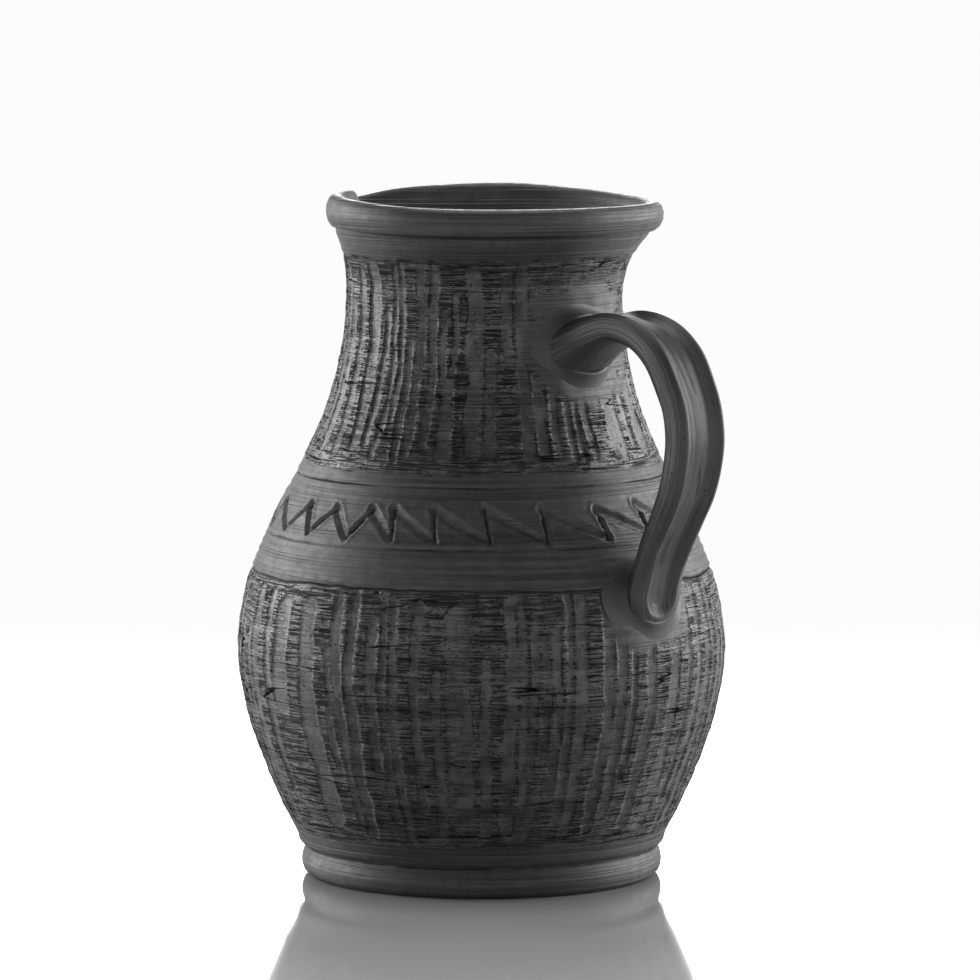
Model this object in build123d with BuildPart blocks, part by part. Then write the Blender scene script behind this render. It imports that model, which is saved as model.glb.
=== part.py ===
from build123d import *
import math
import os

os.makedirs("parts", exist_ok=True)

# A wheel-thrown black-fired clay jug: a thrown vessel with a pinched pouring lip, a pulled
# strap handle, and the soft clay that joins the handle to the neck and to the shoulder.
#
# Frame: +Z up, origin at the centre of the flat base, handle towards +X, lip towards -X.
# Millimetres.

# Outer profile of the vessel, from the base up
base_radius = 57.5           # flat contact of the foot with the table
foot_ring_radius = 61.7      # rolled ring at the very bottom
foot_ring_height = 10.5
foot_groove_radius = 59.5    # groove just above the ring
foot_flare_radius = 66.7     # turn from the foot into the belly
foot_flare_height = 21.7
flank_radius = 74.6          # lower belly
flank_height = 40.0
belly_radius = 83.5          # widest
belly_height = 78.0
shoulder_radius = 79.6       # where the handle's lower end sits
shoulder_height = 101.0
slope_radius = 62.0          # half-way up the slope to the neck
slope_height = 140.0
neck_base_radius = 54.2      # where the slope turns into the neck
neck_base_height = 157.5
neck_start_radius = 49.0
neck_start_height = 176.0
neck_radius = 47.0           # narrowest
neck_height = 197.0
collar_height = 33.0         # from the narrowest neck up to the rim at the handle's side
rim_radius = 58.0

# Wall
wall = 6.2
floor_thickness = 8.0
floor_radius = 42.0          # flat of the floor, before it turns up into the wall

# Pouring lip, opposite the handle
lip_reach = 70.0             # tip, from the jug's axis
lip_half_angle = 15.0        # angular half width of the drawn tip, degrees
pinch_depth = 3.8            # how far the fingers push the rim in beside the lip
pinch_angle = 46.0           # from the lip to each pinch, degrees
pinch_half_angle = 20.0
mouth_shift = 2.5            # the pinched mouth leans this far towards the handle
pinch_rise = 3.5             # the pinched rim stands this much above the handle's side
lip_drop = 4.5               # the tip hangs this much below the handle's side
rim_fillet = 1.5
rim_cut_spare = 25.5         # the form that trims the rim reaches this far past it on each side

# Pulled strap handle
strap_width = 23.0
strap_thickness = 11.6
channel_depth = 3.0          # hollow down the strap's outer face
root_width = 25.0            # the strap widens to its root on the neck
root_thickness = 13.0
tip_width = 16.0             # and thins to its pressed tip on the shoulder
tip_thickness = 8.0
root_drop = 14.0             # root centre below the narrowest neck
crest_out = 21.5             # crest of the bow, out from the neck
crest_rise = 7.8             # and up from the root
bow_reach = 99.6             # the strap's centre line at its furthest from the axis
bow_height = 157.0
return_out = 9.6             # lower part of the bow, out from the shoulder
return_rise = 27.0           # and up from the shoulder
root_bite = 4.0              # the root is pushed this far into the neck
tip_out = 0.2                # the tip's centre stands this much out from the shoulder
tip_run = 4.0                # and this much below it

# Joint clay
collar_clay_radius = 17.0    # smeared round the root, across
collar_clay_height = 9.0     # and proud of the neck
pad_clay_radius = 13.5       # pressed round the tip
pad_clay_height = 5.5
thumb_radius = 5.5           # thumb print in the strap's tip
thumb_depth = 3.0
thumb_rise = 3.0             # its middle, up from the end of the tip

rim_height = neck_height + collar_height
root_height = neck_height - root_drop

SECTION_POINTS = 32          # points round each section of the pinched collar
CLEAR = 8.0                  # how far a cutting form reaches past what it cuts


def bump(angle, centre, half_width):
    """Smooth bump of height 1 at the centre, angles in degrees."""
    away = (angle - centre + 180) % 360 - 180
    return math.exp(-((away / half_width) ** 2))


def mouth_offset(angle):
    """How far the rim stands out from its thrown circle, at an angle from the handle."""
    pull = lip_reach - rim_radius + mouth_shift
    push = bump(angle, 180 - pinch_angle, pinch_half_angle)
    push += bump(angle, 180 + pinch_angle, pinch_half_angle)
    lean = mouth_shift * math.cos(math.radians(angle))
    return lean + pull * bump(angle, 180, lip_half_angle) - pinch_depth * push


def collar_outline(radius, share):
    """Points round one level of the collar, which carries a share of the mouth's shape."""
    points = []
    for i in range(SECTION_POINTS):
        angle = 360 * i / SECTION_POINTS
        reach = radius + share * mouth_offset(angle)
        points.append((reach * math.cos(math.radians(angle)), reach * math.sin(math.radians(angle))))
    return points


def collar_levels():
    """Height, thrown radius and share of the mouth's shape, up the collar and past the rim."""
    spread = rim_radius - neck_radius
    shares = [(0.30, 0.10, 0.12), (0.56, 0.40, 0.42), (0.78, 0.88, 0.86)]
    levels = [
        (neck_height + rise * collar_height, neck_radius + flare * spread, mouth)
        for rise, flare, mouth in shares
    ]
    return levels + [(rim_height + pinch_rise + CLEAR, rim_radius, 1.0)]


def thrown_side(start, start_tangent, inset):
    """Side of the thrown form, or of its inside, from a start point to the narrowest neck."""
    Spline(
        start,
        (foot_flare_radius - inset, foot_flare_height),
        (flank_radius - inset, flank_height),
        (belly_radius - inset, belly_height),
        (shoulder_radius - inset, shoulder_height),
        (slope_radius - inset, slope_height),
        (neck_base_radius - inset, neck_base_height),
        (neck_start_radius - inset, neck_start_height),
        (neck_radius - inset, neck_height),
        tangents=[start_tangent, (0, 1)],
    )


# The vessel as a filled form: the inside is cut from it, and the handle and its clay
# are cut against it
with BuildPart() as filled_form:
    with BuildSketch(Plane.XZ):
        with BuildLine():
            Line((0, 0), (base_radius, 0))
            ThreePointArc(
                (base_radius, 0),
                (foot_ring_radius, foot_ring_height / 2),
                (foot_groove_radius, foot_ring_height),
            )
            thrown_side((foot_groove_radius, foot_ring_height), (0.8, 1), 0)
            Polyline((neck_radius, neck_height), (0, neck_height), (0, 0))
        make_face()
    revolve(axis=Axis.Z)
    with BuildSketch(Plane.XY.offset(neck_height)):
        Circle(neck_radius)
    for height, radius, share in collar_levels():
        with BuildSketch(Plane.XY.offset(height)):
            with BuildLine():
                Spline(*collar_outline(radius, share), periodic=True)
            make_face()
    loft()

# The space inside, from the floor out through the mouth
with BuildPart() as inside_space:
    with BuildSketch(Plane.XZ):
        with BuildLine():
            thrown_side((floor_radius, floor_thickness), (1, 0), wall)
            Polyline(
                (neck_radius - wall, neck_height),
                (0, neck_height),
                (0, floor_thickness),
                (floor_radius, floor_thickness),
            )
        make_face()
    revolve(axis=Axis.Z)
    with BuildSketch(Plane.XY.offset(neck_height)):
        Circle(neck_radius - wall)
    for height, radius, share in collar_levels():
        with BuildSketch(Plane.XY.offset(height)):
            with BuildLine():
                Spline(*collar_outline(radius - wall, share), periodic=True)
            make_face()
    loft()

# Everything above the rim, whose edge dips at the lip and stands up beside it
with BuildPart() as above_rim:
    lip_side = -lip_reach - CLEAR
    handle_side = rim_radius + CLEAR
    with BuildSketch(Plane.XZ):
        with BuildLine():
            rim_line = Spline(
                (lip_side, rim_height - lip_drop),
                (-lip_reach + CLEAR, rim_height - 0.4 * lip_drop),
                (-0.62 * rim_radius, rim_height + pinch_rise),
                (0, rim_height + 0.25 * pinch_rise),
                (handle_side, rim_height),
            )
            Polyline(
                rim_line @ 1,
                (handle_side, rim_height + 2 * CLEAR),
                (lip_side, rim_height + 2 * CLEAR),
                rim_line @ 0,
            )
        make_face()
    extrude(amount=rim_radius + rim_cut_spare, both=True)

with BuildPart() as body:
    add(filled_form.part)
    add(inside_space.part, mode=Mode.SUBTRACT)
    add(above_rim.part, mode=Mode.SUBTRACT)
    lowest_rim = rim_height - lip_drop - CLEAR
    rim_edges = edges().filter_by(lambda e: e.bounding_box().min.Z > lowest_rim)
    fillet(rim_edges.filter_by(lambda e: e.length > rim_radius), rim_fillet)
body.part.label = "body"
export_step(body.part, "parts/body.step")


def strap_outline(width, thickness, channel):
    """Points round the strap's section: two rounded ridges and a hollow between them.

    The section's X runs across the strap, and its Y points away from the jug."""
    half = width / 2
    rise = thickness / 2
    return [
        (0, rise - channel),
        (0.34 * half, rise - 0.55 * channel),
        (0.68 * half, rise),
        (half, 0.15 * rise),
        (0.72 * half, -0.85 * rise),
        (0, -rise),
        (-0.72 * half, -0.85 * rise),
        (-half, 0.15 * rise),
        (-0.68 * half, rise),
        (-0.34 * half, rise - 0.55 * channel),
    ]


root_point = (neck_radius - root_bite, root_height)
tip_point = (shoulder_radius + tip_out, shoulder_height - tip_run)

with BuildPart() as handle:
    with BuildLine(Plane.XZ) as bow:
        Spline(
            root_point,
            (neck_radius + crest_out, root_height + crest_rise),
            (bow_reach, bow_height),
            (shoulder_radius + return_out, shoulder_height + return_rise),
            tip_point,
            tangents=[(1, 0.55), (-0.3, -1)],
        )
    # Sections from the root to the tip: share of the bow, width, thickness, channel
    sections = [
        (0.0, root_width, root_thickness, 0.5 * channel_depth),
        (0.22, strap_width, strap_thickness, channel_depth),
        (0.8, strap_width, strap_thickness, channel_depth),
        (1.0, tip_width, tip_thickness, 0.5 * channel_depth),
    ]
    for share, width, thickness, channel in sections:
        along = bow.line % share
        with BuildSketch(Plane(origin=bow.line @ share, x_dir=(0, 1, 0), z_dir=along)):
            with BuildLine():
                Spline(*strap_outline(width, thickness, channel), periodic=True)
            make_face()
    sweep(path=bow.line, multisection=True)
    thumb_out = tip_point[0] + tip_thickness / 2 + thumb_radius - thumb_depth
    with Locations((thumb_out, 0, tip_point[1] + thumb_rise)):
        Sphere(thumb_radius, mode=Mode.SUBTRACT)
    add(filled_form.part, mode=Mode.SUBTRACT)
handle.part.label = "handle"
export_step(handle.part, "parts/handle.step")

# Soft clay smeared round the root of the strap, against the neck
with BuildPart() as upper_joint_clay:
    with BuildSketch(Plane.XZ):
        with Locations((neck_radius, root_height)):
            Ellipse(collar_clay_height, collar_clay_radius)
            Rectangle(
                4 * collar_clay_radius,
                2 * collar_clay_radius,
                align=(Align.CENTER, Align.MAX),
                mode=Mode.SUBTRACT,
            )
    revolve(axis=Axis((0, 0, root_height), (1, 0, 0)))
    add(filled_form.part, mode=Mode.SUBTRACT)
    add(handle.part, mode=Mode.SUBTRACT)
upper_joint_clay.part.label = "upper_joint_clay"
export_step(upper_joint_clay.part, "parts/upper_joint_clay.step")

# Clay pressed round the tip of the strap, against the shoulder
with BuildPart() as lower_joint_clay:
    with BuildSketch(Plane.XZ):
        with Locations((shoulder_radius, shoulder_height)):
            Ellipse(pad_clay_height, pad_clay_radius)
            Rectangle(
                4 * pad_clay_radius,
                2 * pad_clay_radius,
                align=(Align.CENTER, Align.MAX),
                mode=Mode.SUBTRACT,
            )
    revolve(axis=Axis((0, 0, shoulder_height), (1, 0, 0)))
    add(filled_form.part, mode=Mode.SUBTRACT)
    add(handle.part, mode=Mode.SUBTRACT)
lower_joint_clay.part.label = "lower_joint_clay"
export_step(lower_joint_clay.part, "parts/lower_joint_clay.step")
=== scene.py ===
"""A black clay jug: thrown, combed, incised with a zigzag, given a pulled strap handle and smoke fired.

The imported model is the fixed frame. Every piece here is a finished surface for one of its nodes.
Shapes are worked out in millimetres, and MM turns them into Blender's metres.
Angles on the vessel are in degrees from the handle, and the pouring lip is at 180.
"""

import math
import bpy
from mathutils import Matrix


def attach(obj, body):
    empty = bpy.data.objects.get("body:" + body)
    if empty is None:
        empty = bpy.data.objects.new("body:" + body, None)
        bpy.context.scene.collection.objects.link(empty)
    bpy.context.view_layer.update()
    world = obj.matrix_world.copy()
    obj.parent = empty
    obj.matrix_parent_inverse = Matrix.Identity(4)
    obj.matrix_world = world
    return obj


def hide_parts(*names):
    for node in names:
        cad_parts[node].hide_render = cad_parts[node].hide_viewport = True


bl_info = {
    "name": "Black Clay Jug",
    "version": (1, 0, 0),
    "blender": (4, 5, 0),
    "location": "3D View > Sidebar > Jug",
    "description": "Finishes a smoke-fired clay jug with combed and incised surfaces",
    "category": "Add Mesh",
}

import bpy
import numpy as np
from bpy.props import FloatProperty, FloatVectorProperty, IntProperty, PointerProperty

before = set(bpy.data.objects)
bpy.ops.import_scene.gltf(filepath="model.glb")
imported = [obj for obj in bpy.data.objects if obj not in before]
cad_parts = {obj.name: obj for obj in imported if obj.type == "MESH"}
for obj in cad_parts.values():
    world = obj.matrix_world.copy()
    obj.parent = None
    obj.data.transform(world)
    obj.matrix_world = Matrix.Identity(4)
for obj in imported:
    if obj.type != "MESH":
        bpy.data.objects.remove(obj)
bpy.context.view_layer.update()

MM = 0.001

# Heights on the vessel, from the table up
COMB_LOW = 17.4          # combed belly
COMB_HIGH = 105.2
NECK_COMB_LOW = 142.8    # combed neck
NECK_COMB_HIGH = 212.2
ZIGZAG_TOP = 138.0       # the band that holds the zigzag
ZIGZAG_FOOT = 112.0
ZIGZAG_RADIUS = 68.0     # of the shoulder there
SEAM = COMB_HIGH         # the belly and the neck are turned apart and meet in the line over the comb
BAND_TOP = 142.0         # rings of points are closer below this, for the zigzag
TUCK_TOP = 221.5         # the wall runs up behind the rolled rim, which is folded over it
RIM_INSIDE = 223.5       # where the rolled rim turns down into the inside
BURR_ROOM = 0.5          # left under the widest radius for burrs and ridges
WALL = 6.2

# The thrown outside up to the fold of the rolled rim, as heights and radii
SIDE_HEIGHTS = [0, 1.2, 3, 5, 7.4, 9.2, 10.2, 11.0, 12.2, 14.2,
                21.7, 40, 59, 78, 90, 101, 120, 140, 157.5, 176,
                187, 197, 206, 213, 216.6, 218.6, 219.8]
SIDE_RADII = [58.4, 60.2, 61.2, 61.5, 61.2, 60.6, 60.0, 61.3, 62.3, 62.9,
              66.7, 74.6, 80.8, 83.5, 82.3, 79.6, 72, 62, 54.2, 49,
              47.3, 46.9, 47.7, 50.3, 52.5, 53.9, 54.4]
# The rolled rim from that fold over the top to the inside, as (radius, height)
ROLLED_RIM = [(54.4, 219.8), (55.8, 220.3), (57.2, 221.6), (58.1, 223.9), (58.1, 226.3), (57.3, 228.5),
              (56.0, 229.7), (54.7, 230.1), (53.4, 229.8), (52.4, 229.0), (51.6, 227.6), (50.8, 225.6)]
FLOOR_RADIUS = 42.0
FLOOR_TOP = 8.0

NECK_LEAN = 0.75         # the neck came off the wheel a little to one side

# The mouth
LIP_PULL = 9.4
LIP_ANGLE = 184.0        # a little off the handle, as the hand pulled it
LIP_HALF_ANGLE = 13.0
PINCH_DEPTH = 5.6
PINCH_ANGLE = 40.0
PINCH_HALF_ANGLE = 17.0
MOUTH_SHIFT = 3.8
MOUTH_SHARE_HEIGHTS = [190, 199, 207, 215.5, 222.7, 231]
MOUTH_SHARES = [0, 0.02, 0.12, 0.42, 0.86, 1]
RISE_PLACES = [-80, -68, -61, -36, -12, 15, 70]
RISES = [-4.6, -3.8, -0.6, 3.5, 2.2, 0.6, 0]

# The zigzag, from one trough to the next peak: (angle, height)
ZIGZAG = [
    (-112.0, 121.4), (-103.2, 130.2), (-99.3, 121.4), (-90.7, 130.0), (-84.1, 121.0),
    (-77.7, 130.5), (-69.9, 121.4), (-70.7, 131.0), (-57.5, 121.2), (-58.8, 131.4),
    (-42.6, 120.9), (-44.3, 131.8), (-26.8, 120.8), (-27.6, 131.4), (-8.2, 121.0),
    (-10.5, 130.4), (7.5, 121.4),
]

# Strokes of the smoothing tool: (angle, width, top, bottom)
BELLY_STROKES = [
    (-112, 6.0, 104, 20), (-105.5, 4.0, 103, 34), (-99.9, 8.6, 101, 60), (-90, 7.6, 102, 22),
    (-83, 3.4, 86, 40), (-80.6, 4.4, 104, 24), (-77, 4.6, 105, 20), (-71.4, 4.8, 96, 44),
    (-68.3, 2.8, 103, 26), (-65.6, 3.4, 104, 19), (-60.2, 3.6, 103, 30), (-55, 3.2, 80, 22),
    (-50, 8.8, 101, 24), (-43.8, 4.0, 84, 20), (-37.8, 4.8, 104, 22), (-34.8, 3.2, 102, 30),
    (-32.6, 3.0, 99, 42), (-29.7, 3.4, 90, 46), (-27, 3.6, 92, 36), (-24.2, 3.6, 105.5, 24),
    (-21, 5.0, 104.5, 20), (-14, 4.8, 104, 22), (-10.4, 4.0, 100, 26), (-6.8, 3.0, 97, 40),
    (-1.6, 4.6, 92, 22), (6.5, 5.6, 93, 20), (12.5, 3.0, 98, 30), (17, 3.4, 104, 22),
]
NECK_STROKES = [
    (-104, 4.4, 209, 146), (-95, 5.6, 211, 148), (-88, 3.0, 196, 150), (-83.2, 2.8, 210, 146),
    (-79.6, 2.8, 211.5, 158), (-75.5, 3.4, 186, 146), (-71.3, 3.8, 211, 147),
    (-65.3, 3.4, 211.5, 150), (-61, 3.0, 197, 168), (-57, 2.6, 202, 160), (-58.4, 5.6, 174, 146),
    (-48.6, 6.2, 210.5, 147), (-42, 4.6, 184, 147), (-35.4, 4.0, 210, 180), (-29.8, 4.8, 212, 146),
    (-24, 4.6, 176, 147), (-18.5, 3.6, 172, 146), (-13.6, 3.0, 167, 145), (-9.2, 2.8, 166, 145),
    (-5, 3.4, 166, 146), (9, 8.0, 170, 144),
]

# The strap's centre line: (out from the axis, height, width, thickness)
STRAP = [
    (41.5, 181.6, 34.0, 25.0), (46.0, 182.8, 31.5, 21.5), (50.5, 184.6, 28.6, 18.0),
    (55.5, 186.9, 26.2, 14.8), (61.0, 189.2, 24.6, 12.4), (68.5, 191.0, 23.4, 10.7),
    (76.0, 190.3, 23.0, 10.6),
    (83.0, 187.3, 23.0, 11.0), (89.0, 182.3, 23.0, 11.4), (94.0, 175.0, 23.0, 11.7),
    (97.8, 166.0, 22.8, 11.8), (99.4, 156.5, 22.4, 11.8), (98.6, 146.5, 22.2, 11.6),
    (95.6, 136.6, 21.8, 11.0), (91.4, 127.6, 21.4, 10.0), (87.0, 119.4, 21.6, 9.2),
    (83.6, 111.6, 22.4, 8.6), (81.7, 104.6, 23.2, 8.2), (80.8, 98.0, 23.4, 7.8),
    (79.6, 91.4, 23.0, 7.0),
]
CHANNEL_DEPTH = 3.0
THUMB_HEIGHT = 102.2
TIP_RADIUS = 11.7
ROOT_HEIGHT = 184.0
PAD_HEIGHT = 99.0
WIPED_ROOT = (27.0, 21.0)    # clay wiped smooth round each joint: half its width and height
WIPED_PAD = (20.5, 15.0)
LOWER_END = 70.0         # a point of the strap this far out from the axis is past its root
STOCK_RADIUS = 10.0      # the strap's straight stock, before it is bent
STOCK_LENGTH = 100.0
STOCK_STEPS = 360        # points round it

# The other marks turned into the outside: (height, width, depth)
TURNED_LINES = [
    (138.0, 0.7, 0.34), (133.4, 0.55, 0.3), (118.1, 0.6, 0.34), (116.2, 0.5, 0.22), (113.7, 0.6, 0.26),
    (110.9, 0.6, 0.3), (107.6, 0.5, 0.18), (219.5, 0.45, 0.25), (COMB_HIGH, 0.75, 0.55),
    (NECK_COMB_LOW, 0.6, 0.35), (NECK_COMB_HIGH, 0.6, 0.4), (10.3, 0.7, 0.35),
]

# The studio, in metres and degrees
CAMERA_PLACE = (1.53559, -1.53142, 0.35125)
CAMERA_DOWN = 5.791
CAMERA_TURN = 45.0
CAMERA_LENS = 235.0
FLOOR_SIZE = 9.0
LIT_HEIGHT = 0.12        # the lights point at this height on the jug
WALL_FADE = (0.22, 0.45)     # the white wall fades into the room between these heights of the sky
# Lights: (name, azimuth, distance, height, (across, along), the power in JugLook)
LIGHTS = [
    ("left_light", 206, 1.25, 0.42, (1.1, 1.3), "side_light"),
    ("right_light", 64, 1.25, 0.42, (1.1, 1.3), "side_light"),
    ("back_light", 135, 1.9, 0.95, (1.6, 0.7), "back_light"),
    ("top_light", 135, 0.3, 1.5, (0.9, 0.9), "top_light"),
]


# ---------------------------------------------------------------- numbers

def smooth_through(knots, values, at):
    """Values on a smooth curve through knots that may be uneven."""
    knots, values, at = (np.asarray(v, float) for v in (knots, values, at))
    slopes = np.gradient(values, knots)
    i = np.clip(np.searchsorted(knots, at) - 1, 0, len(knots) - 2)
    step = knots[i + 1] - knots[i]
    t = np.clip((at - knots[i]) / step, 0, 1)
    return (values[i] * (2 * t**3 - 3 * t**2 + 1) + step * slopes[i] * (t**3 - 2 * t**2 + t)
            + values[i + 1] * (3 * t**2 - 2 * t**3) + step * slopes[i + 1] * (t**3 - t**2))


def soft_step(low, high, x):
    """0 below low, 1 above high, smooth between."""
    t = np.clip((x - low) / (high - low), 0, 1)
    return t * t * (3 - 2 * t)


def bell(x, width):
    return np.exp(-((x / width) ** 2))


def turned(angle, centre):
    """Degrees from a centre angle, from -180 to 180."""
    return (angle - centre + 180) % 360 - 180


def clay_noise(turns, cells_round, up, seed):
    """Smooth noise from -1 to 1 that closes on itself after one turn. Up is in cells."""
    lattice = np.random.default_rng(seed).uniform(-1, 1, (cells_round, 512))
    a, u = np.mod(turns, 1.0) * cells_round, np.mod(up, 511.0)
    a0, u0 = np.floor(a).astype(int), np.floor(u).astype(int)
    fa, fu = a - a0, u - u0
    fa, fu = fa * fa * (3 - 2 * fa), fu * fu * (3 - 2 * fu)
    a0, a1 = a0 % cells_round, (a0 + 1) % cells_round
    low = lattice[a0, u0] * (1 - fa) + lattice[a1, u0] * fa
    high = lattice[a0, u0 + 1] * (1 - fa) + lattice[a1, u0 + 1] * fa
    return low * (1 - fu) + high * fu


# ---------------------------------------------------------------- the thrown form

def side_radius(z):
    return smooth_through(SIDE_HEIGHTS, SIDE_RADII, z) - BURR_ROOM * bell(z - 78, 22)


def side_normal(z):
    """The outside's normal in the profile, as (out, up)."""
    slope = (side_radius(z + 0.3) - side_radius(z - 0.3)) / 0.6
    size = np.sqrt(1 + slope**2)
    return 1 / size, -slope / size


def inside_radius(z):
    """The inside follows the outside one wall in, and rounds on to the floor."""
    out, up = side_normal(np.maximum(z, 22))
    wall = side_radius(np.maximum(z, 22)) - WALL / out
    rounding = np.sqrt(np.clip(1 - ((np.minimum(z, 34) - 34) / 26) ** 2, 0, 1))
    return np.where(z < 34, FLOOR_RADIUS + (wall - FLOOR_RADIUS) * rounding, wall)


def mouth_offset(angle):
    """How far the pinched mouth stands out from its thrown circle."""
    pull = (LIP_PULL + MOUTH_SHIFT) * bell(turned(angle, LIP_ANGLE), LIP_HALF_ANGLE)
    push = bell(turned(angle, 180 - PINCH_ANGLE), PINCH_HALF_ANGLE)
    push = push + bell(turned(angle, 180 + PINCH_ANGLE), PINCH_HALF_ANGLE)
    return MOUTH_SHIFT * np.cos(np.radians(angle)) + pull - PINCH_DEPTH * push


def shape_mouth(angle, out, up):
    """Pinches the collar to a lip and lets the rim rise and dip. Returns (out, up)."""
    share = smooth_through(MOUTH_SHARE_HEIGHTS, MOUTH_SHARES, np.clip(up, 190, 231))
    share = np.where(up < 190, 0, share)
    out = out + share * mouth_offset(angle)
    rise = smooth_through(RISE_PLACES, RISES, np.clip(out * np.cos(np.radians(angle)), -80, 70))
    return out, up + share**1.5 * rise


# ---------------------------------------------------------------- marks in the clay

def press_strokes(angle, z, radius, strokes, seed):
    """Presses flat strokes one over another.
    Returns the relief, and how far inside the nearest stroke's edge each point is, in mm."""
    rng = np.random.default_rng(seed)
    relief = np.zeros_like(z)
    inside = np.full_like(z, -4.0)
    for centre, width, top, bottom in strokes:
        phase, depth = rng.uniform(0, 400), rng.uniform(0.28, 0.6)
        tilt, lean = rng.normal(0, 0.045), rng.normal(0, 0.008)
        across = np.radians(turned(angle, centre)) * radius
        near = np.nonzero((np.abs(across) < width + 5) & (z < top + 5) & (z > bottom - 5))[0]
        a, u, r = across[near], z[near], relief[near]
        middle = (top + bottom) / 2
        a = a + 0.75 * clay_noise(0 * u, 3, u / 13 + phase, 3)
        a = a + 0.3 * clay_noise(0 * u, 3, u / 4 + phase, 4)
        a = a + lean * (u - middle)
        half = width / 2 * (1 + 0.17 * clay_noise(0 * u, 3, u / 6 + phase, 5))
        half = half + 0.22 * clay_noise((a > 0) * 0.5, 4, u / 1.7 + phase, 6)
        s = half - np.hypot(a, u - np.clip(u, bottom + width / 2, top - width / 2))
        pressed = -depth * soft_step(-0.2, 0.8, s) + tilt * a + 0.05 * np.minimum(s, 1.4)
        burr = 0.28 * bell(s + 0.45, 0.5) * (0.45 + 0.55 * clay_noise(angle[near] / 360, 90, u / 2.1, 7))
        relief[near] = np.where(s > 0, pressed, r + burr)
        known = inside[near]
        beside = np.where(known > 0, np.minimum(known, -s), np.maximum(known, s))
        inside[near] = np.where(s > 0, s, beside)
    return relief, inside


def strokes_round(drawn, start, stop, spacing, widths, heights, seed):
    """More strokes for the rest of the way round, under the drawn ones."""
    rng = np.random.default_rng(seed)
    strokes, angle = [], start
    while angle < stop:
        width = rng.uniform(*widths) * (1.7 if rng.random() < 0.1 else 1)
        high = heights[1] - (rng.uniform(4, 26) if rng.random() < 0.3 else rng.uniform(0, 2.5))
        low = heights[0] + rng.uniform(0, 6) + (rng.uniform(8, 34) if rng.random() < 0.35 else 0)
        strokes.append((angle, width, high, low))
        angle += spacing * rng.uniform(0.66, 1.34)
    return strokes + list(drawn)


def whole_zigzag():
    """The drawn zigzag, carried on round to where it began."""
    rng = np.random.default_rng(41)
    line = list(ZIGZAG)
    while line[-1][0] < 232:
        angle = line[-1][0]
        line.append((angle - rng.uniform(0.5, 2.2), rng.uniform(130, 131.6)))
        line.append((angle + rng.uniform(13.2, 16.4), rng.uniform(120.8, 121.6)))
    line.append((line[-1][0] + 2.5, 130.4))
    line.append((248.0, 121.4))
    return line


def cut_zigzag(angle, z):
    """A zigzag of broad downward strokes and narrow upward ones.
    Returns its relief, how far inside its edge each point is, and how much painted shade its slits take."""
    depth, inside, slit = np.zeros_like(z), np.full_like(z, -4.0), np.zeros_like(z)
    burr = np.zeros_like(z)
    line = whole_zigzag()
    for k, ((a0, z0), (a1, z1)) in enumerate(zip(line, line[1:])):
        broad = z1 < z0
        half, deep = (1.75, 1.0) if broad else (0.8, 1.25)
        across = np.radians(turned(angle, (a0 + a1) / 2)) * ZIGZAG_RADIUS
        near = np.nonzero((np.abs(across) < 16) & (z > ZIGZAG_FOOT) & (z < ZIGZAG_TOP))[0]
        x, u = across[near], z[near]
        run, climb = math.radians(a1 - a0) * ZIGZAG_RADIUS, z1 - z0
        length = math.hypot(run, climb)
        x = x + run / 2
        t = np.clip((x * run + (u - z0) * climb) / length**2, 0, 1)
        side = (x * climb - (u - z0) * run) / length
        wave = 0.28 * clay_noise(0 * u, 3, t * length / 3 + 9 * k, 8)
        width = half * (1 - 0.3 * t * broad) + wave * (0.8 if broad else 0.5)
        s = width - np.hypot(x - t * run, u - z0 - t * climb)
        tipped = 1 + 0.16 * np.clip(side, -1.5, 1.5) * broad
        hollow = deep * soft_step(-0.1, 0.75 if broad else 0.6, s) * tipped
        depth[near] = np.maximum(depth[near], hollow)
        crumbs = 0.6 + 0.4 * clay_noise(angle[near] / 360, 110, u / 1.8, 9)
        burr[near] = np.maximum(burr[near], 0.46 * bell(s + 0.5, 0.45) * crumbs)
        inside[near] = np.maximum(inside[near], s)
        if not broad:
            slit[near] = np.maximum(slit[near], soft_step(0.0, 0.6, s))
    return burr * (inside < 0.1) - depth, inside, slit


def wavy_line(angle, seed, size):
    turns = angle / 360
    slow, quick = clay_noise(turns, 38, 0 * angle + 3, seed), clay_noise(turns, 110, 0 * angle + 5, seed)
    return size * (slow + 0.6 * quick)


def wiped(angle, z, radius):
    """1 where the clay was wiped smooth round the handle's two joints."""
    x = np.radians(turned(angle, 0)) * radius
    ragged = 1 + 0.16 * clay_noise(angle / 360, 70, z / 6, 11)
    root = np.hypot(x / (WIPED_ROOT[0] * ragged), (z - ROOT_HEIGHT) / (WIPED_ROOT[1] * ragged))
    pad = np.hypot(x / (WIPED_PAD[0] * ragged), (z - PAD_HEIGHT) / (WIPED_PAD[1] * ragged))
    return 1 - soft_step(0.86, 1.08, np.minimum(root, pad))


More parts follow.
